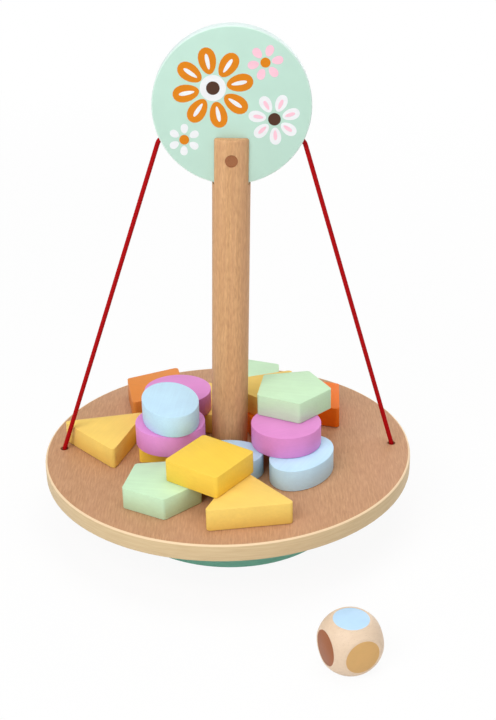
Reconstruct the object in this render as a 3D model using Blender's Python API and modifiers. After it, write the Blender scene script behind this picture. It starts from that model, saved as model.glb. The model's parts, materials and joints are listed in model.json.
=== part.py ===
"""Wooden balance game: a tray of loose blocks hangs by a cord from a disc on a post, with a die beside it.

Metres, +Z up. The origin is on the post's axis at the underside of the foot, the disc's front faces -Y.
"""

import math

import bmesh
import bpy
from mathutils import Matrix, Vector

# Clearance kept between pieces that touch
GAP = 0.0003

# Foot, turned
FOOT_DIAMETER = 0.1280
FOOT_THICKNESS = 0.012
FOOT_EDGE_RADIUS = 0.001
FOOT_SOCKET_DEPTH = 0.008

# Post, a dowel with a slot across its top
POST_DIAMETER = 0.020
POST_TOP_ROUND = 0.0012
SLOT_FLOOR_HEIGHT = 0.1948
TONGUE_LENGTH = 0.0246

# Disc that stands in the slot, and the pin across it
DISC_DIAMETER = 0.0808
DISC_THICKNESS = 0.0086
DISC_EDGE_RADIUS = 0.0007
PIN_DIAMETER = 0.006
PIN_RISE = 0.0139

# Cord, one length that runs through the disc and down to both sides of the tray
CORD_DIAMETER = 0.0025
CORD_CLEARANCE = 0.0006
CORD_BEND_RADIUS = 0.005
CORD_RISE = 0.0236
KNOT_DIAMETER = 0.0077
KNOT_HEIGHT = 0.006
KNOT_TAIL = 0.004

# Tray, a round board that hangs over the foot
TRAY_DIAMETER = 0.2055
TRAY_THICKNESS = 0.0096
TRAY_EDGE_RADIUS = 0.001
TRAY_UNDERSIDE_HEIGHT = 0.0299
TRAY_BORE_CLEARANCE = 0.0018
CORD_HOLE_DIAMETER = 0.0046
CORD_HOLE_INSET = 0.0100
# The tray hangs this much lower on its left side, and this far left of the post, as photographed
HANG_ROLL = math.radians(-1.65)
HANG_SHIFT = -0.0009

# Blocks, cut from one board in sizes that suit the tray
BLOCK_THICKNESS = 0.012
BLOCK_CORNER_RADIUS = 0.002
BLOCK_EDGE_RADIUS = 0.0005
RHOMBUS_ANGLE = math.radians(74)
ROUND_DIAMETER = TRAY_DIAMETER * 0.1862
OVAL_LENGTH = TRAY_DIAMETER * 0.2148
OVAL_WIDTH = TRAY_DIAMETER * 0.1487
TRIANGLE_SIDE = TRAY_DIAMETER * 0.2309
SQUARE_SIDE = TRAY_DIAMETER * 0.1645
PENTAGON_SIDE = TRAY_DIAMETER * 0.1261
RHOMBUS_SIDE = TRAY_DIAMETER * 0.1626

# Die, a ball cut flat on six sides
DIE_WIDTH = 0.0262
DIE_BALL_DIAMETER = 0.0327
DIE_RIGHT = 0.0590
DIE_AHEAD = 0.0413
DIE_TURN = math.radians(23)

# Sides of round pieces
FINE_STEPS = 96
ROUND_STEPS = 48
SMALL_STEPS = 24
SMOOTH_ANGLE = math.radians(35)

# Heights and places that follow from the sizes above
POST_RADIUS = POST_DIAMETER / 2
POST_BOTTOM_HEIGHT = FOOT_THICKNESS - FOOT_SOCKET_DEPTH + GAP
DISC_BOTTOM_HEIGHT = SLOT_FLOOR_HEIGHT + GAP
DISC_CENTRE_HEIGHT = DISC_BOTTOM_HEIGHT + DISC_DIAMETER / 2
POST_TOP_HEIGHT = DISC_BOTTOM_HEIGHT + TONGUE_LENGTH
PIN_HEIGHT = DISC_BOTTOM_HEIGHT + PIN_RISE
CORD_HEIGHT = DISC_BOTTOM_HEIGHT + CORD_RISE
TRAY_MIDDLE_HEIGHT = TRAY_UNDERSIDE_HEIGHT + TRAY_THICKNESS / 2
TRAY_BORE_RADIUS = POST_RADIUS + TRAY_BORE_CLEARANCE
CORD_HOLE_REACH = TRAY_DIAMETER / 2 - CORD_HOLE_INSET
BLOCK_LEVEL_STEP = BLOCK_THICKNESS + GAP
DIE_PLACE = (DIE_RIGHT, -TRAY_DIAMETER / 2 - DIE_AHEAD)

# Colours, linear RGB
BEECH = (0.60, 0.36, 0.17)
PLYWOOD = (0.56, 0.32, 0.18)
MINT = (0.56, 0.79, 0.67)
TEAL = (0.17, 0.42, 0.30)
RED_BROWN = (0.33, 0.13, 0.05)
RED = (0.45, 0.01, 0.02)
MAPLE = (0.84, 0.62, 0.42)
YELLOW = (0.95, 0.62, 0.11)
STRAW = (0.88, 0.60, 0.19)
ORANGE = (0.80, 0.25, 0.07)
GREEN = (0.60, 0.82, 0.57)
PURPLE = (0.75, 0.32, 0.63)
BLUE = (0.53, 0.75, 0.96)


def clear_scene():
    for old in list(bpy.data.objects):
        bpy.data.objects.remove(old, do_unlink=True)


def make_collection(name):
    collection = bpy.data.collections.new(name)
    bpy.context.scene.collection.children.link(collection)
    return collection


def make_material(name, colour, roughness, metallic=0.0):
    material = bpy.data.materials.new(name)
    material.use_nodes = True
    shader = material.node_tree.nodes["Principled BSDF"]
    shader.inputs["Base Color"].default_value = (*colour, 1.0)
    shader.inputs["Roughness"].default_value = roughness
    shader.inputs["Metallic"].default_value = metallic
    return material


def shade(obj):
    obj.data.shade_smooth()
    obj.data.set_sharp_from_angle(angle=SMOOTH_ANGLE)


def add_mesh(name, collection, build, material=None, parent=None):
    """A mesh object whose bmesh is filled by build."""
    mesh = bpy.data.meshes.new(name)
    work = bmesh.new()
    build(work)
    work.to_mesh(mesh)
    work.free()
    obj = bpy.data.objects.new(name, mesh)
    collection.objects.link(obj)
    if material:
        mesh.materials.append(material)
    obj.parent = parent
    return obj


def add_empty(name, collection, location, parent=None):
    empty = bpy.data.objects.new(name, None)
    collection.objects.link(empty)
    empty.location = location
    empty.parent = parent
    return empty


def add_turned(name, collection, profile, steps, material, parent=None, closed=False):
    """A profile of (radius, height) points, down the outer side first, turned about Z."""

    def build(work):
        points = [work.verts.new((radius, 0.0, height)) for radius, height in profile]
        pairs = list(zip(points, points[1:]))
        if closed:
            pairs.append((points[-1], points[0]))
        for pair in pairs:
            work.edges.new(pair)

    obj = add_mesh(name, collection, build, material, parent)
    turn = obj.modifiers.new("Turn", "SCREW")
    turn.axis = "Z"
    turn.steps = steps
    turn.render_steps = steps
    turn.use_merge_vertices = True
    turn.merge_threshold = 0.00001
    turn.use_smooth_shade = False
    return obj


def add_smoothing(obj):
    """Shading of a piece whose faces come from modifiers."""
    group = bpy.data.node_groups.new(obj.name + "_shading", "GeometryNodeTree")
    group.interface.new_socket("Geometry", in_out="INPUT", socket_type="NodeSocketGeometry")
    group.interface.new_socket("Geometry", in_out="OUTPUT", socket_type="NodeSocketGeometry")
    start = group.nodes.new("NodeGroupInput")
    end = group.nodes.new("NodeGroupOutput")
    angle = group.nodes.new("GeometryNodeInputMeshEdgeAngle")
    soft = group.nodes.new("FunctionNodeCompare")
    soft.operation = "LESS_THAN"
    soft.inputs[1].default_value = SMOOTH_ANGLE
    faces = group.nodes.new("GeometryNodeSetShadeSmooth")
    edges = group.nodes.new("GeometryNodeSetShadeSmooth")
    edges.domain = "EDGE"
    group.links.new(start.outputs[0], faces.inputs["Geometry"])
    group.links.new(faces.outputs[0], edges.inputs["Geometry"])
    group.links.new(angle.outputs["Unsigned Angle"], soft.inputs[0])
    group.links.new(soft.outputs["Result"], edges.inputs["Shade Smooth"])
    group.links.new(edges.outputs[0], end.inputs[0])
    obj.modifiers.new("Shading", "NODES").node_group = group


def arc(centre, radius, start, end, count):
    """Points on an arc about (x, y) centre, ends included, angles in radians."""
    points = []
    for i in range(count + 1):
        angle = start + (end - start) * i / count
        points.append((centre[0] + radius * math.cos(angle), centre[1] + radius * math.sin(angle)))
    return points


def add_cutter(name, build, location=(0, 0, 0), parent=None):
    cutter = add_mesh(name, CUTTERS, build, parent=parent)
    cutter.location = location
    cutter.hide_render = True
    cutter.display_type = "WIRE"
    return cutter


def box_builder(size):
    def build(work):
        bmesh.ops.create_cube(work, size=1.0, matrix=Matrix.Diagonal((*size, 1.0)))

    return build


def rod_builder(diameter, length, steps, axis="Z"):
    turns = {"X": Matrix.Rotation(math.pi / 2, 4, "Y"), "Y": Matrix.Rotation(math.pi / 2, 4, "X")}

    def build(work):
        bmesh.ops.create_cone(
            work, cap_ends=True, segments=steps, radius1=diameter / 2, radius2=diameter / 2, depth=length,
            matrix=turns.get(axis, Matrix()),
        )

    return build


def cut(obj, cutter, operation="DIFFERENCE"):
    boolean = obj.modifiers.new(operation.title(), "BOOLEAN")
    boolean.operation = operation
    boolean.solver = "EXACT"
    boolean.object = cutter


# Stand

def make_foot():
    """Round foot with a blind socket for the post."""
    radius = FOOT_DIAMETER / 2
    edge = FOOT_EDGE_RADIUS
    socket = POST_RADIUS + GAP
    floor = FOOT_THICKNESS - FOOT_SOCKET_DEPTH
    profile = [(socket, FOOT_THICKNESS)]
    profile += arc((radius - edge, FOOT_THICKNESS - edge), edge, math.pi / 2, 0, 4)
    profile += arc((radius - edge, edge), edge, 0, -math.pi / 2, 4)
    profile += [(0, 0)]
    profile = [(0, floor), (socket, floor)] + profile
    foot = add_turned("foot", PARTS, profile, FINE_STEPS, make_material("teal_paint", TEAL, 0.5))
    add_smoothing(foot)


def make_post():
    """Dowel post, slotted across the top for the disc and drilled for the pin."""
    round_over = POST_TOP_ROUND
    profile = [(0, POST_TOP_HEIGHT)]
    profile += arc((POST_RADIUS - round_over, POST_TOP_HEIGHT - round_over), round_over, math.pi / 2, 0, 3)
    profile += [(POST_RADIUS, POST_BOTTOM_HEIGHT), (0, POST_BOTTOM_HEIGHT)]
    post = add_turned("post", PARTS, profile, ROUND_STEPS, make_material("beech", BEECH, 0.55))
    slot_height = 2 * TONGUE_LENGTH
    slot = box_builder((2 * POST_DIAMETER, DISC_THICKNESS + 2 * GAP, slot_height))
    cut(post, add_cutter("post_slot", slot, (0, 0, SLOT_FLOOR_HEIGHT + slot_height / 2)))
    bore = rod_builder(PIN_DIAMETER + 2 * GAP, 2 * POST_DIAMETER, SMALL_STEPS, "Y")
    cut(post, add_cutter("post_pin_bore", bore, (0, 0, PIN_HEIGHT)))
    add_smoothing(post)


def make_pin():
    """Dowel pin through the post's two tongues and the disc, sanded flush."""
    length = 2 * math.sqrt(POST_RADIUS**2 - (PIN_DIAMETER / 2) ** 2)
    pin = add_mesh("cross_pin", PARTS, rod_builder(PIN_DIAMETER, length, SMALL_STEPS, "Y"))
    pin.data.materials.append(make_material("stained_pin", RED_BROWN, 0.6))
    pin.location.z = PIN_HEIGHT
    shade(pin)


def make_disc():
    """Round board on edge in the post's slot, drilled for the pin and from rim to rim for the cord."""
    radius = DISC_DIAMETER / 2
    half = DISC_THICKNESS / 2
    edge = DISC_EDGE_RADIUS
    profile = [(0, half)]
    profile += arc((radius - edge, half - edge), edge, math.pi / 2, 0, 3)
    profile += arc((radius - edge, edge - half), edge, 0, -math.pi / 2, 3)
    profile += [(0, -half)]
    disc = add_turned("top_disc", PARTS, profile, FINE_STEPS, make_material("mint_paint", MINT, 0.45))
    disc.location.z = DISC_CENTRE_HEIGHT
    disc.rotation_euler.x = math.pi / 2
    bore = rod_builder(PIN_DIAMETER + 2 * GAP, 2 * DISC_THICKNESS, SMALL_STEPS, "Y")
    cut(disc, add_cutter("disc_pin_bore", bore, (0, 0, PIN_HEIGHT)))
    return disc


# Cord

def rounded_route(corners, radius, steps):
    """Corner points of a route in 3D with each inner corner rounded to an arc."""
    route = [corners[0]]
    for before, corner, after in zip(corners, corners[1:], corners[2:]):
        back = (before - corner).normalized()
        ahead = (after - corner).normalized()
        half_angle = back.angle(ahead) / 2
        reach = radius / math.tan(half_angle)
        middle = corner + (back + ahead).normalized() * (radius / math.sin(half_angle))
        first = corner + back * reach - middle
        last = corner + ahead * reach - middle
        for i in range(steps + 1):
            share = i / steps
            route.append(middle + first.slerp(last, share) * radius)
    route.append(corners[-1])
    return route


def hole_place(side):
    """Middle of a cord hole in the tray, as the tray hangs."""
    place = Vector((side * CORD_HOLE_REACH, 0, 0))
    return Matrix.Rotation(HANG_ROLL, 3, "Y") @ place + Vector((HANG_SHIFT, 0, TRAY_MIDDLE_HEIGHT))


def cord_corners(side, start):
    """Corners of one half of the cord, from inside the disc to the middle of the tray's hole."""
    drop = DISC_DIAMETER / 2 - CORD_RISE
    rim = math.sqrt((DISC_DIAMETER / 2) ** 2 - drop**2)
    up = Matrix.Rotation(HANG_ROLL, 3, "Y") @ Vector((0, 0, 1))
    hole = hole_place(side)
    return [
        Vector((side * start, 0, CORD_HEIGHT)),
        Vector((side * rim, 0, CORD_HEIGHT)),
        hole + up * (TRAY_THICKNESS / 2),
        hole + up * GAP,
    ]


def make_tube(name, collection, route, diameter, material=None):
    curve = bpy.data.curves.new(name, "CURVE")
    curve.dimensions = "3D"
    curve.bevel_depth = diameter / 2
    curve.bevel_resolution = 2
    curve.use_fill_caps = True
    spline = curve.splines.new("POLY")
    spline.points.add(len(route) - 1)
    for point, place in zip(spline.points, route):
        point.co = (*place, 1.0)
    tube = bpy.data.objects.new(name, curve)
    collection.objects.link(tube)
    if material:
        curve.materials.append(material)
    return tube


def tube_to_mesh(tube, name, collection):
    """The curve's tube as a closed mesh object."""
    evaluated = tube.evaluated_get(bpy.context.evaluated_depsgraph_get())
    mesh = bpy.data.meshes.new_from_object(evaluated)
    work = bmesh.new()
    work.from_mesh(mesh)
    bmesh.ops.remove_doubles(work, verts=work.verts, dist=0.00001)
    bmesh.ops.recalc_face_normals(work, faces=work.faces)
    work.to_mesh(mesh)
    work.free()
    obj = bpy.data.objects.new(name, mesh)
    collection.objects.link(obj)
    obj.matrix_world = tube.matrix_world
    bpy.data.objects.remove(tube, do_unlink=True)
    return obj


def make_cords(disc):
    """Two halves of the cord, which meet inside the disc, and the hole that they run through."""
    material = make_material("red_cord", RED, 0.8)
    halves = {}
    for side, name in ((-1, "cord_left"), (1, "cord_right")):
        halves[side] = cord_corners(side, GAP / 2)
        make_tube(name, PARTS, rounded_route(halves[side], CORD_BEND_RADIUS, 6), CORD_DIAMETER, material)
    whole = halves[-1][:0:-1] + halves[1][1:]
    route = rounded_route(whole, CORD_BEND_RADIUS, 6)
    hole = make_tube("disc_cord_route", CUTTERS, route, CORD_DIAMETER + 2 * CORD_CLEARANCE)
    hole = tube_to_mesh(hole, "disc_cord_bore", CUTTERS)
    hole.hide_render = True
    hole.display_type = "WIRE"
    cut(disc, hole)
    add_smoothing(disc)


def make_knots(sling):
    """Knotted cord ends under the tray, each with the short length that stands in the tray's hole."""
    material = make_material("red_knot", RED, 0.8)
    radius = CORD_DIAMETER / 2
    top = -TRAY_THICKNESS / 2 - 2 * GAP
    middle = top - KNOT_HEIGHT / 2
    for side, name in ((-1, "knot_left"), (1, "knot_right")):
        profile = [(0, -GAP), (radius, -GAP), (radius, top)]
        for i in range(1, 8):
            angle = math.pi * i / 8
            bulge = radius + (KNOT_DIAMETER / 2 - radius) * math.sin(angle)
            profile.append((bulge, middle + KNOT_HEIGHT / 2 * math.cos(angle)))
        low = top - KNOT_HEIGHT
        profile += [(radius, low), (radius, low - KNOT_TAIL), (0, low - KNOT_TAIL)]
        knot = add_turned(name, PARTS, profile, 12, material, sling)
        knot.location.x = side * CORD_HOLE_REACH
        add_smoothing(knot)


# Tray and blocks

def make_tray(pivot):
    """Round board with a bore round the post and a hole for the cord on each side."""
    radius = TRAY_DIAMETER / 2
    half = TRAY_THICKNESS / 2
    edge = TRAY_EDGE_RADIUS
    profile = [(TRAY_BORE_RADIUS, half)]
    profile += arc((radius - edge, half - edge), edge, math.pi / 2, 0, 3)
    profile += arc((radius - edge, edge - half), edge, 0, -math.pi / 2, 3)
    profile += [(TRAY_BORE_RADIUS, -half)]
    material = make_material("beech_plywood", PLYWOOD, 0.55)
    tray = add_turned("tray", PARTS, profile, FINE_STEPS, material, pivot, closed=True)
    for side, name in ((-1, "tray_hole_left"), (1, "tray_hole_right")):
        hole = rod_builder(CORD_HOLE_DIAMETER, 2 * TRAY_THICKNESS, SMALL_STEPS)
        cut(tray, add_cutter(name, hole, (side * CORD_HOLE_REACH, 0, 0), pivot))
    add_smoothing(tray)


def regular_corners(count, side):
    reach = side / (2 * math.sin(math.pi / count))
    return arc((0, 0), reach, 0, 2 * math.pi * (count - 1) / count, count - 1)


def rhombus_corners(side, angle):
    lean = side * math.cos(angle)
    rise = side * math.sin(angle)
    left = -(side + lean) / 2
    low = [(left, -rise / 2), (left + side, -rise / 2)]
    high = [(left + side + lean, rise / 2), (left + lean, rise / 2)]
    return low + high


def rounded_outline(corners, radius, steps=4):
    """Closed outline with an arc at each corner."""
    outline = []
    count = len(corners)
    for i in range(count):
        corner = Vector(corners[i])
        back = (Vector(corners[i - 1]) - corner).normalized()
        ahead = (Vector(corners[(i + 1) % count]) - corner).normalized()
        half_angle = back.angle(ahead) / 2
        centre = corner + (back + ahead).normalized() * (radius / math.sin(half_angle))
        turn = math.pi - 2 * half_angle
        middle = corner - centre
        heading = math.atan2(middle.y, middle.x)
        outline += arc(centre, radius, heading - turn / 2, heading + turn / 2, steps)
    return outline


def oval_outline(length, width):
    points = []
    for i in range(ROUND_STEPS):
        angle = 2 * math.pi * i / ROUND_STEPS
        points.append((length / 2 * math.cos(angle), width / 2 * math.sin(angle)))
    return points


def block_outlines():
    corner = BLOCK_CORNER_RADIUS
    return {
        "round": oval_outline(ROUND_DIAMETER, ROUND_DIAMETER),
        "oval": oval_outline(OVAL_LENGTH, OVAL_WIDTH),
        "triangle": rounded_outline(regular_corners(3, TRIANGLE_SIDE), corner),
        "square": rounded_outline(regular_corners(4, SQUARE_SIDE), corner),
        "pentagon": rounded_outline(regular_corners(5, PENTAGON_SIDE), corner),
        "rhombus": rounded_outline(rhombus_corners(RHOMBUS_SIDE, RHOMBUS_ANGLE), corner),
    }


# Each block: name, shape, paint, layer, place in shares of the tray's diameter, turn in degrees
BLOCK_PLACES = (
    ("triangle_left", "triangle", STRAW, 0, -0.3299, 0.0061, 42.1),
    ("triangle_front", "triangle", STRAW, 0, 0.0506, -0.3556, 97.9),
    ("triangle_rear", "triangle", STRAW, 0, -0.0949, 0.1579, 70),
    ("triangle_upper", "triangle", STRAW, 1, 0.0984, 0.1301, 47.6),
    ("square_left", "square", YELLOW, 0, -0.1555, -0.0077, 44.8),
    ("square_upper", "square", YELLOW, 1, -0.0413, -0.2677, 9.2),
    ("rhombus_rear", "rhombus", ORANGE, 0, -0.2120, 0.2665, 25.9),
    ("rhombus_right", "rhombus", ORANGE, 0, 0.2414, 0.1983, -19.3),
    ("rhombus_inner", "rhombus", ORANGE, 0, 0.1475, 0.0404, 0),
    ("pentagon_front", "pentagon", GREEN, 0, -0.1662, -0.2754, -11.7),
    ("pentagon_rear", "pentagon", GREEN, 0, 0.0604, 0.3349, 32),
    ("pentagon_upper", "pentagon", GREEN, 2, 0.1782, -0.0007, -9.3),
    ("oval_front", "oval", BLUE, 0, -0.0104, -0.1509, 6),
    ("oval_right", "oval", BLUE, 0, 0.1974, -0.1545, 56),
    ("oval_upper", "oval", BLUE, 2, -0.1489, -0.0655, 105.2),
    ("round_rear", "round", PURPLE, 1, -0.1392, 0.1148, 0),
    ("round_left", "round", PURPLE, 1, -0.1506, -0.0750, 0),
    ("round_right", "round", PURPLE, 1, 0.1587, -0.0929, 0),
)
# These two lie with their other face up
FLIPPED = ("rhombus_right", "rhombus_inner")


def make_block(name, outline, colour, layer, place, turn, pivot):
    """A flat outline of the board's thickness with eased edges."""
    curve = bpy.data.curves.new(name, "CURVE")
    curve.dimensions = "2D"
    curve.fill_mode = "BOTH"
    curve.extrude = BLOCK_THICKNESS / 2
    spline = curve.splines.new("POLY")
    spline.points.add(len(outline) - 1)
    for point, (x, y) in zip(spline.points, outline):
        point.co = (x, y, 0, 1)
    spline.use_cyclic_u = True
    flat = bpy.data.objects.new(name + "_outline", curve)
    PARTS.objects.link(flat)
    block = tube_to_mesh(flat, name, PARTS)
    block.parent = pivot
    lift = TRAY_THICKNESS / 2 + GAP + layer * BLOCK_LEVEL_STEP + BLOCK_THICKNESS / 2
    block.location = (*place, lift)
    block.rotation_euler.z = turn
    block.data.materials.append(make_material(name + "_paint", colour, 0.6))
    ease = block.modifiers.new("Eased edges", "BEVEL")
    ease.width = BLOCK_EDGE_RADIUS
    ease.segments = 2
    ease.limit_method = "ANGLE"
    ease.angle_limit = math.radians(60)
    ease.use_clamp_overlap = True
    add_smoothing(block)


def make_blocks(pivot):
    outlines = block_outlines()
    for name, shape, colour, layer, x, y, degrees in BLOCK_PLACES:
        outline = outlines[shape]
        if name in FLIPPED:
            outline = [(-px, py) for px, py in reversed(outline)]
        place = (x * TRAY_DIAMETER, y * TRAY_DIAMETER)
        make_block(name, outline, colour, layer, place, math.radians(degrees), pivot)


# Die

def make_die():
    """Ball cut flat on six sides, standing on the table in front of the tray."""

    def ball(work):
        bmesh.ops.create_uvsphere(
            work, u_segments=ROUND_STEPS, v_segments=SMALL_STEPS, radius=DIE_BALL_DIAMETER / 2
        )

    place = (*DIE_PLACE, DIE_WIDTH / 2)
    die = add_mesh("die", PARTS, ball, make_material("maple", MAPLE, 0.5))
    die.location = place
    die.rotation_euler.z = DIE_TURN
    cube = add_cutter("die_cube", box_builder((DIE_WIDTH,) * 3), place)
    cube.rotation_euler.z = DIE_TURN
    cut(die, cube, "INTERSECT")
    add_smoothing(die)


clear_scene()
PARTS = make_collection("balance_game")
CUTTERS = make_collection("balance_game_cutters")

make_foot()
make_post()
make_pin()
make_cords(make_disc())

# The sling turns about Y and the tray, on the sling, about the line through its cord holes
sling_pivot = add_empty("sling_pivot", PARTS, (HANG_SHIFT, 0, TRAY_MIDDLE_HEIGHT))
sling_pivot.rotation_euler.y = HANG_ROLL
tray_pivot = add_empty("tray_pivot", PARTS, (0, 0, 0), sling_pivot)

make_knots(sling_pivot)
make_tray(tray_pivot)
make_blocks(tray_pivot)
make_die()
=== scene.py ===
import json
import math
import random

import bmesh
import bpy
from mathutils import Matrix, Vector

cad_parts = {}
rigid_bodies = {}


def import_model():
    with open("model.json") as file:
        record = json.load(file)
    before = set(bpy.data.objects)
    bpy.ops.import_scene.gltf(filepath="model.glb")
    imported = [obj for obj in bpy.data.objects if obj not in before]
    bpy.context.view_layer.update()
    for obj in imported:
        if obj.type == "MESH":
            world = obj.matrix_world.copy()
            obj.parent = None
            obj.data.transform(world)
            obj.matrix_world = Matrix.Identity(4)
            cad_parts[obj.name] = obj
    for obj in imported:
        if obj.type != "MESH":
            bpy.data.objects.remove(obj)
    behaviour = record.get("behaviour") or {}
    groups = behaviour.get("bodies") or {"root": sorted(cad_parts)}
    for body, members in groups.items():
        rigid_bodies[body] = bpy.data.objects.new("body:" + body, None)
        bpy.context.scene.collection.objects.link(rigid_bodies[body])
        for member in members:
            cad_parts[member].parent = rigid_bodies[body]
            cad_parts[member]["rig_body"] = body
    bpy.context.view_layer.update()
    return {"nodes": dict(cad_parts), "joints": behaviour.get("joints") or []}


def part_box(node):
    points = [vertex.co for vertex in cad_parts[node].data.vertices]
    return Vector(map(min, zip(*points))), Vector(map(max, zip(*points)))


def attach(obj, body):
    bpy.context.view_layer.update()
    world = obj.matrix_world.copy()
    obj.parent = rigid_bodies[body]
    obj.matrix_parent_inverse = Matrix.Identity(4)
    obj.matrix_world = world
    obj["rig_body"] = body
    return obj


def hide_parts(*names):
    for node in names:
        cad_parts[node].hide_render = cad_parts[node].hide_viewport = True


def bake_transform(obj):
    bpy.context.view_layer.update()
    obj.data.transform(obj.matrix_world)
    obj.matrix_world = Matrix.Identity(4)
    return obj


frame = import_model()

# Camera, solved from the photograph's outlines
CAMERA_PLACE = (0.0039, -0.6583, 0.4041)
CAMERA_AZIMUTH = math.radians(-0.51)
CAMERA_ELEVATION = math.radians(25.27)
CAMERA_ROLL = math.radians(0.72)
CAMERA_LENS_MM = 66.15
CAMERA_SENSOR_MM = 36.0
CAMERA_CLIP_START = 0.01

# Lamps: place, diameter and power
LAMPS = {
    "key": ((-0.65, -0.95, 1.05), 1.1, 14.6),
    "fill": ((0.95, -0.8, 0.6), 1.0, 2.6),
    "top": ((0.12, 0.12, 1.4), 1.0, 7.4),
    "back": ((0.7, 1.0, 0.4), 0.8, 3.4),
}
LAMP_TARGET = (0, 0, 0.1)
# Strength of the white world for rays that light the object
AMBIENT = 0.24

WHITE = (1, 1, 1, 1)
FLOOR_GREY = (0.9, 0.9, 0.9, 1)
FLOOR_HALF_WIDTH = 6.0
FLOOR_DROP = 0.0002
# Share of the floor that is plain white to the camera near the object, where a faint shadow is left
FLOOR_GLOW = 0.92
# The floor turns to plain white between these distances from the post
FLOOR_FADE = (0.3, 1.0)

# Sizes that the frame doesn't give by itself
TRAY_THICKNESS = 0.0096
TRAY_EDGE = 0.001
DISC_EDGE = 0.0008
# Width of the line where the look of a face turns into that of its rim
RIM_BLUR = 0.0002
DIE_TURN = math.radians(23)
DIE_PAINT_RADIUS = 0.0088
DIE_PAINT_DEPTH = 0.0002
# The pin fills its bore but for a hair
PIN_SPREAD = 1.09

# Clean-up of the solids' triangles
MERGE_DISTANCE = 0.000005
FLAT_ANGLE = math.radians(0.05)
SMOOTH_ANGLE = math.radians(35)

# Cord: the groove is a share of its radius
CORD_DIAMETER = 0.0025
CORD_HOLE_REACH = 0.09275
CORD_BEND_RADIUS = 0.005
CORD_BEND_STEPS = 10
CORD_STRANDS = 3
CORD_LAY = 0.006
CORD_GROOVE = 0.10
CORD_SIDES = 18
CORD_STEP = 0.0006
CORD_GAP = 0.0003

# Knots: two turns round the cord and a loose tail, which is given in steps
KNOT_TURNS = 2
KNOT_RADIUS = CORD_DIAMETER * 1.04
KNOT_PITCH = CORD_DIAMETER * 1.06
KNOT_DROP = CORD_DIAMETER * 0.85
KNOT_CORE_END = CORD_DIAMETER * 0.6
KNOT_TURN_STEPS = 24
KNOT_STEP = 0.0004
KNOT_TAIL = ((0.0004, 0.0012, -0.0012), (0.0003, 0.0006, -0.0028))

# Print on the disc: thickness of a layer of ink, and how much a petal narrows towards the heart
INK_LAYER = 0.00006
INK_ROUGHNESS = 0.42
PETAL_TAPER = 0.28

# Random draws for the direction and place of each block's grain
BLOCK_SEED = 7
BLOCK_SHIFT = 20


def middle_of(node):
    low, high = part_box(node)
    return (low + high) / 2


# Places from the frame: the tray's hang, the disc, the cord and the die
JOINTS = {joint["name"]: joint for joint in frame["joints"]}
TILT_AXIS = Vector(JOINTS["tray_tilt"]["axis"])
HANG_ROLL = -math.atan2(TILT_AXIS.z, TILT_AXIS.x)
HANG = Matrix.Rotation(HANG_ROLL, 3, "Y")
TRAY_MIDDLE = Vector(JOINTS["tray_roll"]["pos_m"])
TRAY_RADIUS = (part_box("tray")[1].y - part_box("tray")[0].y) / 2
DISC_CENTRE = middle_of("top_disc")
DISC_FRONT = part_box("top_disc")[0].y
DISC_RADIUS = (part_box("top_disc")[1].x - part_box("top_disc")[0].x) / 2
CORD_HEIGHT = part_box("cord_left")[1].z - CORD_DIAMETER / 2
DIE_HALF = middle_of("die").z

# Frame of each group of pieces, as origin and turn
UNTURNED = (0, 0, 0)
WORLD_FRAME = (Vector((0, 0, 0)), UNTURNED)
TRAY_FRAME = (TRAY_MIDDLE, (0, HANG_ROLL, 0))
DISC_FRAME = (DISC_CENTRE, UNTURNED)
DIE_FRAME = (middle_of("die"), (0, 0, DIE_TURN))
# The heart of the pin's rings lies beside and below the pin
PIN_HEART = (Vector((0.0021, 0, middle_of("cross_pin").z - 0.004)), UNTURNED)


def srgb(red, green, blue):
    """Linear colour of 8-bit screen values."""
    channels = []
    for value in (red, green, blue):
        share = value / 255
        channels.append(share / 12.92 if share <= 0.04045 else ((share + 0.055) / 1.055) ** 2.4)
    return (*channels, 1.0)


def scaled(colour, factor):
    return (*(min(1.0, channel * factor) for channel in colour[:3]), 1.0)


# Streaks and flecks are darker tones of the wood's dark colour
STREAK_TONE = 0.92
FLECK_TONE = 0.72
FLECK_SHARE = 0.35

PAINTS = {
    "straw_paint": srgb(249, 211, 108),
    "yellow_paint": srgb(253, 210, 76),
    "orange_paint": srgb(227, 139, 60),
    "green_paint": srgb(204, 237, 199),
    "purple_paint": srgb(229, 146, 212),
    "blue_paint": srgb(198, 233, 255),
    "mint_paint": srgb(190, 222, 207),
    "teal_paint": srgb(135, 211, 188),
}
BLOCK_SLOTS = {
    "triangle": "straw_paint",
    "square": "yellow_paint",
    "rhombus": "orange_paint",
    "pentagon": "green_paint",
    "oval": "blue_paint",
    "round": "purple_paint",
}
# Painted shade: a more saturated copy of the orange paint, made for the look of these two blocks' shaded
# sides
SHADED_ORANGE = srgb(248, 120, 10)
SHADED_PAINTS = {"rhombus_right": SHADED_ORANGE, "rhombus_inner": SHADED_ORANGE}

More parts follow.
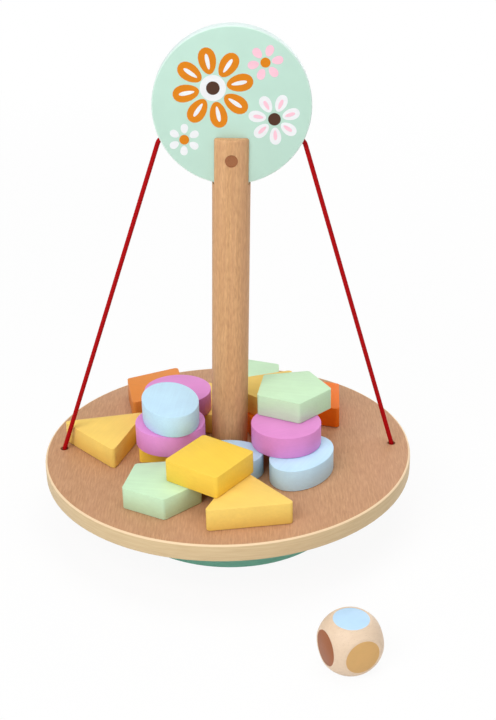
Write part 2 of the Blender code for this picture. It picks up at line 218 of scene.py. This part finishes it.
DISC_RIM = srgb(214, 229, 226)
# Painted highlight: a pale band along the eased edge of the disc's faces
DISC_EDGE_HIGHLIGHT = srgb(208, 233, 221)
BEECH = srgb(225, 178, 128)
BEECH_DARK = srgb(186, 136, 92)
BEECH_STREAK = scaled(BEECH_DARK, STREAK_TONE)
BEECH_PINK = srgb(218, 166, 132)
VENEER = srgb(206, 161, 121)
VENEER_DARK = srgb(164, 116, 78)
VENEER_STREAK = scaled(VENEER_DARK, STREAK_TONE)
VENEER_PINK = srgb(203, 151, 122)
PLY_EDGE = srgb(218, 193, 151)
PLY_LINE = srgb(202, 170, 126)
PLY_STREAK = scaled(PLY_LINE, STREAK_TONE)
# Painted highlight along the rounded top edge of the tray's rim
PLY_EDGE_HIGHLIGHT = srgb(240, 212, 174)
PIN_WOOD = srgb(154, 98, 62)
CORD_RED = srgb(176, 4, 11)
MAPLE = srgb(230, 205, 178)
MAPLE_DARK = srgb(214, 186, 158)
DIE_PAINTS = {
    (0, 0, 1): srgb(188, 222, 249),
    (0, 0, -1): srgb(231, 142, 78),
    (-1, 0, 0): srgb(158, 94, 56),
    (1, 0, 0): srgb(203, 232, 197),
    (0, -1, 0): srgb(213, 168, 106),
    (0, 1, 0): srgb(226, 152, 212),
}
# Inks of the print: colour and material slot
INKS = {
    "orange": (srgb(223, 131, 0), "orange_paint"),
    "white": (srgb(238, 240, 242), "mint_paint"),
    "pink": (srgb(250, 200, 215), "purple_paint"),
    "brown": (srgb(74, 44, 28), "stained_pin"),
}


def even(count):
    """Features per metre of a texture, the same in all directions."""
    return (count, count, count)


def with_grain(along, across):
    """Features per metre of a texture along the grain, which is X, and across it."""
    return (along, across, across)


POST_BANDS = with_grain(14, 620)
POST_FLECKS = with_grain(260, 1500)
POST_STREAKS = with_grain(240, 1300)
POST_PINK = with_grain(5, 210)
POST_PATCHES = even(60)
VENEER_BANDS = with_grain(110, 1000)
VENEER_FLECKS = with_grain(240, 1500)
VENEER_STREAKS = with_grain(170, 1250)
VENEER_CLOUDS = with_grain(9, 34)
VENEER_PATCHES = even(45)
RIM_STREAKS = (75, 1, 1300)
PLY_PITCH = 0.0031
DIE_BANDS = with_grain(40, 700)
DIE_FLECKS = with_grain(300, 2600)
DIE_MOTTLE = even(200)
PAINT_STREAKS = with_grain(40, 900)
PAINT_MOTTLE = even(90)
PAINT_PITS = even(1500)
DISC_MOTTLE = even(70)
DISC_PITS = even(1400)
PIN_WANDER = even(500)
PIN_PORES = (3000, 300, 3000)
# Rings of the pin: radians per metre outwards, and how far they wander in radians
PIN_RINGS = 9000.0
PIN_RING_WANDER = 5.0
CORD_FIBRES = (2600, 2600, 900)

# Noise levels between which a feature fades in
BAND_LEVELS = (0.30, 0.72)
FLECK_LEVELS = (0.60, 0.72)
STREAK_LEVELS = (0.3, 0.7)
FINE_LEVELS = (0.35, 0.75)
MOTTLE_LEVELS = (0.25, 0.75)
PIT_LEVELS = (0.66, 0.74)

# Relief of a surface: depth in metres and strength
WOOD_RELIEF = (0.00005, 0.5)
PAINT_RELIEF = (0.00006, 0.6)
DISC_RELIEF = (-0.00005, 0.5)
DIE_RELIEF = (0.00004, 0.4)
PIN_RELIEF = (0.00006, 0.5)
CORD_RELIEF = (0.0001, 0.7)

WOOD_ROUGHNESS = 0.5
PAINT_ROUGHNESS = 0.48
COAT_ROUGHNESS = 0.45
PIN_ROUGHNESS = 0.6
CORD_ROUGHNESS = 0.75
FLOOR_ROUGHNESS = 0.8
MATT_SPECULAR = 0.28
FIBRE_SPECULAR = 0.12


# Material building blocks

class Nodes:
    """Short ways to add nodes to a node tree."""

    def __init__(self, tree):
        self.tree = tree

    def add(self, kind, inputs=None, **settings):
        made = self.tree.nodes.new("ShaderNode" + kind)
        for name, value in settings.items():
            setattr(made, name, value)
        for name, value in (inputs or {}).items():
            if hasattr(value, "is_output"):
                self.tree.links.new(value, made.inputs[name])
            else:
                made.inputs[name].default_value = value
        return made

    def math(self, operation, first, second=0.0):
        return self.add("Math", {0: first, 1: second}, operation=operation).outputs[0]

    def ramp(self, value, low, high):
        """Value as a share of the way from low to high."""
        made = self.add("MapRange", {"Value": value, "From Min": low, "From Max": high}, clamp=True)
        return made.outputs["Result"]

    def spread(self, share, low, high):
        """The level at a share of the way from low to high."""
        made = self.add("MapRange", {"Value": share, "To Min": low, "To Max": high}, clamp=True)
        return made.outputs["Result"]

    def seen(self):
        """1 for rays from the camera or a reflection, 0 for rays that only carry light."""
        rays = self.add("LightPath").outputs
        return self.math("MAXIMUM", rays["Is Camera Ray"], rays["Is Glossy Ray"])


class Coat(Nodes):
    """A Principled material and its texture nodes."""

    def __init__(self, name, roughness, specular=MATT_SPECULAR):
        self.material = bpy.data.materials.new(name)
        self.material.use_nodes = True
        super().__init__(self.material.node_tree)
        self.shader = self.tree.nodes["Principled BSDF"]
        self.shader.inputs["Roughness"].default_value = roughness
        self.shader.inputs["Specular IOR Level"].default_value = specular

    def turned(self, vector, angles):
        return self.add("Mapping", {"Vector": vector, "Rotation": angles}).outputs["Vector"]

    def place(self, frame_of, turn=0.0):
        """Object coordinates in a piece's own frame, turned about Z."""
        origin, angles = frame_of
        coords = self.add("TexCoord").outputs["Object"]
        inputs = {"Vector": coords, "Location": origin, "Rotation": angles}
        local = self.add("Mapping", inputs, vector_type="TEXTURE").outputs["Vector"]
        return self.turned(local, (0, 0, turn)) if turn else local

    def noise(self, vector, features, detail=3.0, shift=0.0):
        """Noise of so many features per metre, shifted so that two textures don't agree."""
        inputs = {"Vector": vector, "Scale": features, "Location": (shift, shift, shift)}
        moved = self.add("Mapping", inputs).outputs["Vector"]
        return self.add("TexNoise", {"Vector": moved, "Scale": 1.0, "Detail": detail}).outputs["Fac"]

    def mix(self, factor, first, second):
        return self.add("Mix", {0: factor, 6: first, 7: second}, data_type="RGBA").outputs[2]

    def tint(self, colour, other, mask, share):
        """Colour with a share of another one where the mask is."""
        return self.mix(self.math("MULTIPLY", mask, share), colour, other)

    def tones(self, colour, mask, start, end):
        """Colour from one of its tones to another as the mask goes from 0 to 1."""
        return self.mix(mask, scaled(colour, start), scaled(colour, end))

    def axes(self, vector):
        split = self.add("SeparateXYZ", {"Vector": vector})
        return split.outputs["X"], split.outputs["Y"], split.outputs["Z"]

    def length(self, vector):
        return self.add("VectorMath", {0: vector}, operation="LENGTH").outputs["Value"]

    def radius(self, first, second):
        """Distance from the axis that is square to both directions."""
        return self.length(self.add("CombineXYZ", {"X": first, "Y": second}).outputs[0])

    def bump(self, height, depth, strength):
        made = self.add("Bump", {"Height": height, "Distance": depth, "Strength": strength})
        self.tree.links.new(made.outputs["Normal"], self.shader.inputs["Normal"])

    def finish(self, colour, roughness=None):
        self.tree.links.new(colour, self.shader.inputs["Base Color"])
        if roughness is not None:
            self.tree.links.new(roughness, self.shader.inputs["Roughness"])
        return self.material


def grain(coat, vector, light, dark, bands, flecks, shift, banding=0.5):
    """Colour and height of fine-grained wood whose grain runs along X of vector."""
    band = coat.ramp(coat.noise(vector, bands, detail=4.0, shift=shift), *BAND_LEVELS)
    fleck = coat.ramp(coat.noise(vector, flecks, detail=2.0, shift=shift + 3), *FLECK_LEVELS)
    toned = coat.tint(light, dark, band, banding)
    colour = coat.tint(toned, scaled(dark, FLECK_TONE), fleck, FLECK_SHARE)
    return colour, coat.math("SUBTRACT", band, fleck)


def streaked(coat, vector, colour, dark, features, share):
    """Colour with fine even streaks of a darker tone along X of vector."""
    streaks = coat.ramp(coat.noise(vector, features, detail=2.0, shift=4.0), *STREAK_LEVELS)
    return coat.tint(colour, dark, streaks, share)


def post_beech():
    """Bare beech with its grain upright, in pink and straw bands with fine streaks."""
    coat = Coat("post_beech", WOOD_ROUGHNESS)
    lying = coat.turned(coat.place(WORLD_FRAME), (0, math.pi / 2, 0))
    colour, height = grain(coat, lying, BEECH, BEECH_DARK, POST_BANDS, POST_FLECKS, shift=1.5)
    colour = streaked(coat, lying, colour, BEECH_STREAK, POST_STREAKS, share=0.6)
    pink = coat.ramp(coat.noise(lying, POST_PINK, shift=8.0), low=0.38, high=0.66)
    colour = coat.tint(colour, BEECH_PINK, pink, share=0.25)
    coat.bump(height, *WOOD_RELIEF)
    patches = coat.noise(lying, POST_PATCHES, detail=2.0, shift=8.5)
    return coat.finish(colour, coat.spread(patches, low=0.44, high=0.58))


def paint(name, colour, frame_of, turn=0.0, shift=0.0, roughness=PAINT_ROUGHNESS):
    """Matt paint over wood: a faint mottle, brush-fine grain under it and small pits."""
    coat = Coat(name, roughness)
    vector = coat.place(frame_of, turn)
    mottle = coat.noise(vector, PAINT_MOTTLE, shift=shift)
    streak = coat.ramp(coat.noise(vector, PAINT_STREAKS, shift=shift + 5), *FINE_LEVELS)
    pit = coat.ramp(coat.noise(vector, PAINT_PITS, detail=1.0, shift=shift + 9), *PIT_LEVELS)
    toned = coat.tones(colour, coat.ramp(mottle, *MOTTLE_LEVELS), start=0.95, end=1.03)
    toned = coat.tint(toned, scaled(colour, 0.87), streak, share=0.36)
    height = coat.math("SUBTRACT", coat.math("MULTIPLY", streak, 0.5), pit)
    coat.bump(height, *PAINT_RELIEF)
    return coat.finish(toned, coat.spread(mottle, low=roughness - 0.05, high=roughness + 0.1))


def plywood():
    """Brown veneer with its grain from front to back on the faces, a pale rim with faint layers and a
    painted highlight along its top edge.
    """
    coat = Coat("tray_plywood", WOOD_ROUGHNESS)
    vector = coat.place(TRAY_FRAME, math.pi / 2)
    x, y, z = coat.axes(vector)
    faces, height = grain(coat, vector, VENEER, VENEER_DARK, VENEER_BANDS, VENEER_FLECKS, shift=0.0)
    faces = streaked(coat, vector, faces, VENEER_STREAK, VENEER_STREAKS, share=0.5)
    clouds = coat.ramp(coat.noise(vector, VENEER_CLOUDS, shift=6.0), *STREAK_LEVELS)
    faces = coat.tint(faces, VENEER_PINK, clouds, share=0.35)
    layers = coat.math("SINE", coat.math("MULTIPLY", z, 2 * math.pi / PLY_PITCH))
    edge = coat.tint(PLY_EDGE, PLY_LINE, coat.ramp(layers, low=0.1, high=0.95), share=0.12)
    round_rim = coat.math("MULTIPLY", coat.math("ARCTAN2", y, x), TRAY_RADIUS)
    unrolled = coat.add("CombineXYZ", {"X": round_rim, "Z": z}).outputs[0]
    streaks = coat.ramp(coat.noise(unrolled, RIM_STREAKS, shift=4.0), *FINE_LEVELS)
    edge = coat.tint(edge, PLY_STREAK, streaks, share=0.5)
    half = TRAY_THICKNESS / 2
    # Painted highlight on the rounding at the top of the rim
    rim_highlight_mask = coat.ramp(z, low=half - TRAY_EDGE * 0.8, high=half - TRAY_EDGE * 0.6)
    edge = coat.mix(rim_highlight_mask, edge, PLY_EDGE_HIGHLIGHT)
    inner = TRAY_RADIUS - TRAY_EDGE
    rim = coat.ramp(coat.radius(x, y), low=inner - RIM_BLUR, high=inner)
    coat.bump(height, *WOOD_RELIEF)
    patches = coat.noise(vector, VENEER_PATCHES, detail=2.0, shift=2.0)
    return coat.finish(coat.mix(rim, faces, edge), coat.spread(patches, low=0.45, high=0.6))


def disc_coat():
    """Mint paint on the faces with a painted highlight along their eased edge, a paler coat on the rim."""
    coat = Coat("disc_coat", COAT_ROUGHNESS)
    vector = coat.place(DISC_FRAME)
    x, _, z = coat.axes(vector)
    radius = coat.radius(x, z)
    # Mask of the painted highlight, a band on the faces next to the rim
    edge_highlight_mask = coat.ramp(radius, low=DISC_RADIUS - DISC_EDGE, high=DISC_RADIUS - DISC_EDGE * 0.6)
    rim = coat.ramp(radius, low=DISC_RADIUS - RIM_BLUR, high=DISC_RADIUS - RIM_BLUR / 2)
    mottle = coat.noise(vector, DISC_MOTTLE, shift=3.0)
    pits = coat.ramp(coat.noise(vector, DISC_PITS, detail=1.0, shift=8.0), *PIT_LEVELS)
    face = coat.tones(PAINTS["mint_paint"], coat.ramp(mottle, *MOTTLE_LEVELS), start=0.97, end=1.02)
    coat.bump(pits, *DISC_RELIEF)
    colour = coat.mix(rim, coat.mix(edge_highlight_mask, face, DISC_EDGE_HIGHLIGHT), DISC_RIM)
    return coat.finish(colour, coat.spread(mottle, low=0.4, high=0.52))


def painted_die():
    """Pale wood with a round of paint on each flat."""
    coat = Coat("die_wood", COAT_ROUGHNESS)
    vector = coat.place(DIE_FRAME)
    colour, height = grain(coat, vector, MAPLE, MAPLE_DARK, DIE_BANDS, DIE_FLECKS, shift=2.0, banding=0.35)
    parts = coat.axes(vector)
    mottle = coat.noise(vector, DIE_MOTTLE, shift=11.0)
    inside = coat.math("LESS_THAN", coat.length(vector), math.hypot(DIE_HALF, DIE_PAINT_RADIUS))
    for direction, colour_of_flat in DIE_PAINTS.items():
        axis = next(i for i in range(3) if direction[i])
        reach = coat.math("MULTIPLY", parts[axis], float(direction[axis]))
        flat = coat.math("GREATER_THAN", reach, DIE_HALF - DIE_PAINT_DEPTH)
        painted = coat.math("MULTIPLY", flat, inside)
        colour = coat.mix(painted, colour, coat.tones(colour_of_flat, mottle, start=0.92, end=1.06))
    coat.bump(height, *DIE_RELIEF)
    return coat.finish(colour)


def cord_fibre():
    coat = Coat("cord_fibre", CORD_ROUGHNESS, FIBRE_SPECULAR)
    fibres = coat.noise(coat.place(WORLD_FRAME), CORD_FIBRES)
    colour = coat.tones(CORD_RED, coat.ramp(fibres, low=0.3, high=0.75), start=0.72, end=1.2)
    coat.bump(fibres, *CORD_RELIEF)
    return coat.finish(colour)


def pin_end_grain():
    """Rings and pores on the ends of the pin."""
    coat = Coat("pin_end_grain", PIN_ROUGHNESS)
    vector = coat.place(PIN_HEART)
    x, _, z = coat.axes(vector)
    outwards = coat.math("MULTIPLY", coat.radius(x, z), PIN_RINGS)
    wander = coat.math("MULTIPLY", coat.noise(vector, PIN_WANDER, detail=2.0), PIN_RING_WANDER)
    ring = coat.ramp(coat.math("SINE", coat.math("ADD", outwards, wander)), low=-0.4, high=1.0)
    pores = coat.ramp(coat.noise(vector, PIN_PORES, detail=1.0, shift=2.0), low=0.58, high=0.7)
    toned = coat.tones(PIN_WOOD, coat.math("MULTIPLY", ring, 0.5), start=1.12, end=0.8)
    coat.bump(coat.math("SUBTRACT", ring, pores), *PIN_RELIEF)
    return coat.finish(coat.tint(toned, scaled(PIN_WOOD, 0.5), pores, share=0.5))


def add_mesh(name, work, material):
    """An object in the scene from a bmesh, which is used up."""
    mesh = bpy.data.meshes.new(name)
    work.to_mesh(mesh)
    work.free()
    mesh.materials.append(material)
    piece = bpy.data.objects.new(name, mesh)
    bpy.context.scene.collection.objects.link(piece)
    return piece


# Pieces that keep the solid's form

def dress(node, material, name, spread=1.0):
    """A smooth-shaded piece with the form of a CAD node, made wider in X and Z by spread."""
    source = frame["nodes"][node]
    work = bmesh.new()
    work.from_mesh(source.data)
    bmesh.ops.remove_doubles(work, verts=work.verts, dist=MERGE_DISTANCE)
    bmesh.ops.dissolve_limit(work, angle_limit=FLAT_ANGLE, verts=work.verts, edges=work.edges)
    if spread != 1.0:
        centred = Matrix.Translation(-middle_of(node))
        bmesh.ops.scale(work, vec=(spread, 1, spread), space=centred, verts=work.verts)
    piece = add_mesh(name, work, material)
    mesh = piece.data
    for attribute in ("custom_normal", "sharp_edge", "sharp_face"):
        found = mesh.attributes.get(attribute)
        if found:
            mesh.attributes.remove(found)
    mesh.shade_smooth()
    mesh.set_sharp_from_angle(angle=SMOOTH_ANGLE)
    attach(piece, source["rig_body"])
    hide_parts(node)


def dress_blocks():
    draw = random.Random(BLOCK_SEED)
    for node in sorted(frame["nodes"]):
        slot = BLOCK_SLOTS.get(node.split("_")[0])
        if slot:
            turn = draw.uniform(0, math.pi)
            shift = draw.uniform(0, BLOCK_SHIFT)
            # Two orange blocks take the shaded copy of the paint, which is painted shade
            colour = SHADED_PAINTS.get(node, PAINTS[slot])
            coat = paint(node + "_coat", colour, TRAY_FRAME, turn, shift)
            dress(node, coat, node + "_block")


def dress_stand():
    dress("post", post_beech(), "post_dowel")
    dress("cross_pin", pin_end_grain(), "cross_pin_dowel", PIN_SPREAD)
    teal = paint("foot_coat", PAINTS["teal_paint"], WORLD_FRAME, turn=0.3, shift=2.0)
    dress("foot", teal, "foot_board")
    dress("top_disc", disc_coat(), "disc_board")
    dress("tray", plywood(), "tray_board")
    dress("die", painted_die(), "die_cube")


# Cord

def rounded_route(corners):
    """Points of a route with each inner corner rounded to an arc of the cord's bend."""
    route = [corners[0]]
    for before, corner, after in zip(corners, corners[1:], corners[2:]):
        back = (before - corner).normalized()
        ahead = (after - corner).normalized()
        half = back.angle(ahead) / 2
        middle = corner + (back + ahead).normalized() * (CORD_BEND_RADIUS / math.sin(half))
        cut = CORD_BEND_RADIUS / math.tan(half)
        first = corner + back * cut - middle
        last = corner + ahead * cut - middle
        for i in range(CORD_BEND_STEPS + 1):
            route.append(middle + first.slerp(last, i / CORD_BEND_STEPS) * CORD_BEND_RADIUS)
    route.append(corners[-1])
    return route


def resampled(route, step):
    """Points along the route about one step apart, ends kept."""
    lengths = [0.0]
    for first, last in zip(route, route[1:]):
        lengths.append(lengths[-1] + (last - first).length)
    count = max(2, round(lengths[-1] / step))
    points = []
    k = 0
    for i in range(count + 1):
        target = lengths[-1] * i / count
        while k < len(route) - 2 and lengths[k + 1] < target:
            k += 1
        span = lengths[k + 1] - lengths[k]
        points.append(route[k].lerp(route[k + 1], (target - lengths[k]) / span))
    return points


def twisted_tube(name, points, material):
    """Closed tube along points whose section has one lobe for each twisted strand."""
    work = bmesh.new()
    rings = []
    side = Vector((0, 1, 0))
    run = 0.0
    for i, point in enumerate(points):
        ahead = (points[min(i + 1, len(points) - 1)] - points[max(i - 1, 0)]).normalized()
        side = (side - ahead * side.dot(ahead)).normalized()
        other = ahead.cross(side)
        if i:
            run += (point - points[i - 1]).length
        twist = 2 * math.pi * run / CORD_LAY
        ring = []
        for k in range(CORD_SIDES):
            angle = 2 * math.pi * k / CORD_SIDES
            lobe = abs(math.sin(CORD_STRANDS / 2 * (angle - twist)))
            reach = CORD_DIAMETER / 2 * (1 - CORD_GROOVE + CORD_GROOVE * math.sqrt(lobe))
            outwards = side * math.cos(angle) + other * math.sin(angle)
            ring.append(work.verts.new(point + outwards * reach))
        rings.append(ring)
    for low, high in zip(rings, rings[1:]):
        for k in range(CORD_SIDES):
            after = (k + 1) % CORD_SIDES
            work.faces.new((low[k], low[after], high[after], high[k]))
    work.faces.new(list(reversed(rings[0])))
    work.faces.new(rings[-1])
    bmesh.ops.recalc_face_normals(work, faces=work.faces)
    piece = add_mesh(name, work, material)
    piece.data.shade_smooth()
    return piece


def make_cords(material):
    """Both falls of the cord, from inside the disc to the tray's holes."""
    up = HANG @ Vector((0, 0, 1))
    drop = DISC_CENTRE.z - CORD_HEIGHT
    rim = math.sqrt(DISC_RADIUS**2 - drop**2)
    for side, node in ((-1, "cord_left"), (1, "cord_right")):
        hole = HANG @ Vector((side * CORD_HOLE_REACH, 0, 0)) + TRAY_MIDDLE
        mouth = hole + up * (TRAY_THICKNESS / 2)
        corner = Vector((side * rim, 0, CORD_HEIGHT))
        inside = Vector((side * CORD_GAP / 2, 0, CORD_HEIGHT))
        points = resampled(rounded_route([inside, corner, mouth, hole + up * CORD_GAP]), CORD_STEP)
        cord = twisted_tube(node + "_twist", points, material)
        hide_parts(node)
        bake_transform(cord)


def make_knots(material):
    """Stopper knots under the tray: the cord turns round itself and its end hangs out below."""
    top = -TRAY_THICKNESS / 2 - KNOT_DROP
    low = top - KNOT_TURNS * KNOT_PITCH - KNOT_CORE_END
    core = [Vector((0, 0, -CORD_GAP)), Vector((0, 0, low))]
    coil = []
    for i in range(KNOT_TURNS * KNOT_TURN_STEPS + 1):
        angle = 2 * math.pi * i / KNOT_TURN_STEPS
        height = top - KNOT_PITCH * i / KNOT_TURN_STEPS
        coil.append(Vector((KNOT_RADIUS * math.cos(angle), KNOT_RADIUS * math.sin(angle), height)))
    for step in KNOT_TAIL:
        coil.append(coil[-1] + Vector(step))
    for side, node in ((-1, "knot_left"), (1, "knot_right")):
        centre = Vector((side * CORD_HOLE_REACH, 0, 0))
        for part, route in (("core", core), ("coil", coil)):
            points = [HANG @ (centre + place) + TRAY_MIDDLE for place in route]
            piece = twisted_tube(node + "_" + part, resampled(points, KNOT_STEP), material)
            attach(piece, "sling")
            if part == "coil":
                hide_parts(node)


# Print on the disc: loose flowers

def add_patch(name, outlines, lift, material):
    """Thin closed patches on the disc's front, from outlines of (x, z) points about the disc's centre."""
    work = bmesh.new()
    for outline in outlines:
        back = [work.verts.new((x, DISC_FRONT, DISC_CENTRE.z + z)) for x, z in outline]
        front = [work.verts.new((x, DISC_FRONT - lift, DISC_CENTRE.z + z)) for x, z in outline]
        work.faces.new(front)
        work.faces.new(list(reversed(back)))
        for k in range(len(outline)):
            after = (k + 1) % len(outline)
            work.faces.new((back[k], back[after], front[after], front[k]))
    bmesh.ops.recalc_face_normals(work, faces=work.faces)
    piece = add_mesh(name, work, material)
    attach(piece, "stand")


def petal(centre, angle, start, length, width, points=20):
    """Outline of a petal that points away from centre."""
    outline = []
    for i in range(points):
        turn = 2 * math.pi * i / points
        along = start + length / 2 * (1 - math.cos(turn))
        fullness = 1 - PETAL_TAPER + PETAL_TAPER * (along - start) / length
        swell = width / 2 * math.sin(turn) * fullness
        x = centre[0] + along * math.cos(angle) - swell * math.sin(angle)
        z = centre[1] + along * math.sin(angle) + swell * math.cos(angle)
        outline.append((x, z))
    return outline


def ring_of_petals(centre, count, start, length, width, turn):
    return [petal(centre, turn + 2 * math.pi * i / count, start, length, width) for i in range(count)]


def dot(centre, radius, points=24):
    steps = [2 * math.pi * i / points for i in range(points)]
    return [(centre[0] + radius * math.cos(a), centre[1] + radius * math.sin(a)) for a in steps]


def make_print():
    """Four flowers in two layers of ink. Rings of petals give count, start, length, width and turn."""
    coats = {}
    for shift, (ink, (colour, _)) in enumerate(INKS.items(), 1):
        coats[ink] = paint("ink_" + ink, colour, WORLD_FRAME, shift=shift, roughness=INK_ROUGHNESS)
    big = (-0.0095, 0.0095)
    low = (0.0215, -0.0060)
    high = (0.0165, 0.0225)
    left = (-0.0240, -0.0170)
    patches = (
        ("orange_petals", "orange", 1, ring_of_petals(big, 8, 0.0070, 0.0135, 0.0102, 0.2)),
        ("white_petals", "white", 1, ring_of_petals(low, 7, 0.0042, 0.0090, 0.0068, 0.3)),
        ("pink_petals", "pink", 1, ring_of_petals(high, 6, 0.0032, 0.0058, 0.0048, 0.2)),
        ("small_petals", "white", 1, ring_of_petals(left, 6, 0.0032, 0.0050, 0.0044, 0.5)),
        ("white_heart", "white", 1, [dot(big, 0.0066)]),
        ("brown_hearts", "brown", 2, [dot(big, 0.0034), dot(low, 0.0032)]),
        ("white_rays", "white", 2, ring_of_petals(big, 8, 0.0094, 0.0080, 0.0024, 0.2)),
        ("pink_rays", "pink", 2, ring_of_petals(low, 7, 0.0056, 0.0052, 0.0022, 0.3)),
        ("orange_hearts", "orange", 2, [dot(high, 0.0025), dot(left, 0.0025)]),
    )
    for name, ink, layer, outlines in patches:
        add_patch("print_" + name, outlines, layer * INK_LAYER, coats[ink])


# Stage

def add_camera():
    camera = bpy.data.objects.new("camera", bpy.data.cameras.new("camera"))
    camera.data.lens = CAMERA_LENS_MM
    camera.data.sensor_fit = "VERTICAL"
    camera.data.sensor_height = CAMERA_SENSOR_MM
    camera.data.clip_start = CAMERA_CLIP_START
    aim = Matrix.Rotation(CAMERA_AZIMUTH, 4, "Z")
    tip = Matrix.Rotation(math.pi / 2 - CAMERA_ELEVATION, 4, "X")
    roll = Matrix.Rotation(CAMERA_ROLL, 4, "Z")
    camera.matrix_world = Matrix.Translation(CAMERA_PLACE) @ (aim @ tip) @ roll
    bpy.context.scene.collection.objects.link(camera)
    bpy.context.scene.camera = camera


def add_lights():
    """Four round lamps and a white world, which is dimmer as a light than to the eye."""
    for name, (place, size, power) in LAMPS.items():
        lamp = bpy.data.lights.new(name, "AREA")
        lamp.shape = "DISK"
        lamp.size = size
        lamp.energy = power
        obj = bpy.data.objects.new(name, lamp)
        obj.location = place
        obj.rotation_euler = (Vector(LAMP_TARGET) - Vector(place)).to_track_quat("-Z", "Y").to_euler()
        bpy.context.scene.collection.objects.link(obj)
    world = bpy.data.worlds.new("studio")
    world.use_nodes = True
    nodes = Nodes(world.node_tree)
    background = nodes.tree.nodes["Background"]
    background.inputs["Color"].default_value = WHITE
    level = nodes.spread(nodes.seen(), low=AMBIENT, high=1.0)
    nodes.tree.links.new(level, background.inputs["Strength"])
    bpy.context.scene.world = world


def add_floor():
    """Pale floor: white to the camera, with a faint shadow left in it."""
    coat = Coat("floor", FLOOR_ROUGHNESS)
    coat.shader.inputs["Base Color"].default_value = FLOOR_GREY
    glow = coat.add("Emission", {"Color": WHITE, "Strength": 1.0})
    distance = coat.length(coat.add("TexCoord").outputs["Object"])
    white = coat.spread(coat.ramp(distance, *FLOOR_FADE), low=FLOOR_GLOW, high=1.0)
    share = coat.math("MULTIPLY", coat.seen(), white)
    both = coat.add("MixShader", {0: share, 1: coat.shader.outputs[0], 2: glow.outputs[0]})
    coat.tree.links.new(both.outputs[0], coat.tree.nodes["Material Output"].inputs["Surface"])
    work = bmesh.new()
    bmesh.ops.create_grid(work, x_segments=1, y_segments=1, size=FLOOR_HALF_WIDTH)
    floor = add_mesh("floor", work, coat.material)
    floor.location.z = -FLOOR_DROP


bpy.context.scene.view_settings.view_transform = "Standard"
add_camera()
add_lights()
add_floor()

red = cord_fibre()
make_cords(red)
make_knots(red)
dress_stand()
dress_blocks()
make_print()
